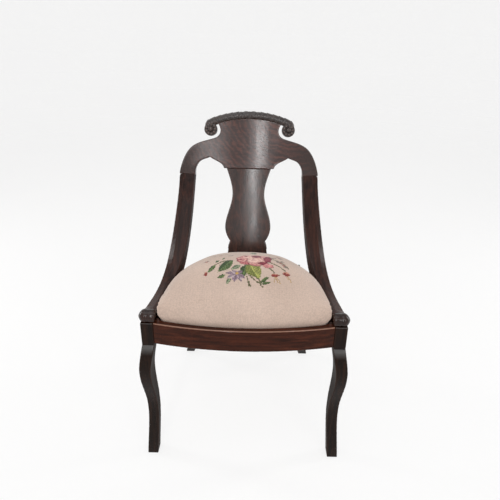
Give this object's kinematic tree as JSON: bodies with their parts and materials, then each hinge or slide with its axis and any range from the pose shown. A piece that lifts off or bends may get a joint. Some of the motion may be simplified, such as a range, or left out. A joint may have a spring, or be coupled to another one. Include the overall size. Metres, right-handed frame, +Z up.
{
  "type": "side chair",
  "caption": "Dark polished wooden side chair with a carved crest roll, vase splat, stiles swept to the front corners and a domed needlepoint drop-in seat.",
  "frame": {"origin": "on the floor, in the middle of the chair's width and depth", "axes": "+Z up, the chair faces -Y, +X to the right as seen from the front"},
  "size_m": [0.52, 0.504, 0.85],
  "materials": {
    "mahogany": "dark red-brown, French polished",
    "carved_mahogany": "near-black carved and polished",
    "plain_wood": "unfinished secondary wood",
    "steel": "dull",
    "webbing": "jute",
    "stuffing": "hair and cotton wadding",
    "needlepoint": "wool needlepoint with a flower spray"
  },
  "bodies": {
    "chair_frame": {"crest_rail": "mahogany", "crest_roll": "carved_mahogany", "splat": "mahogany", "front_rail": "mahogany", "rear_rail": "mahogany", "left_side_rail": "mahogany", "right_side_rail": "mahogany", "left_front_leg": "mahogany", "right_front_leg": "mahogany", "left_rear_leg": "mahogany", "right_rear_leg": "mahogany", "left_stile": "mahogany", "right_stile": "mahogany", "left_stile_knob": "mahogany", "right_stile_knob": "mahogany", "left_front_corner_block": "plain_wood", "right_front_corner_block": "plain_wood", "left_rear_corner_block": "plain_wood", "right_rear_corner_block": "plain_wood", "corner_block_screws": "steel", "stile_dowels": "plain_wood", "knob_dowels": "plain_wood", "crest_dowels": "plain_wood"},
    "slip_seat": {"seat_frame_front": "plain_wood", "seat_frame_rear": "plain_wood", "left_seat_frame_side": "plain_wood", "right_seat_frame_side": "plain_wood", "seat_frame_dowels": "plain_wood", "webbing_long": "webbing", "webbing_cross": "webbing", "hessian_sheet": "webbing", "seat_stuffing": "stuffing", "seat_cover": "needlepoint", "cover_tacks": "steel"}
  },
  "joints": [
    {"name": "seat_lift", "type": "slide", "parent": "chair_frame", "child": "slip_seat", "axis": [0, 0, 1], "range_m": [0, 0.15]}
  ]
}
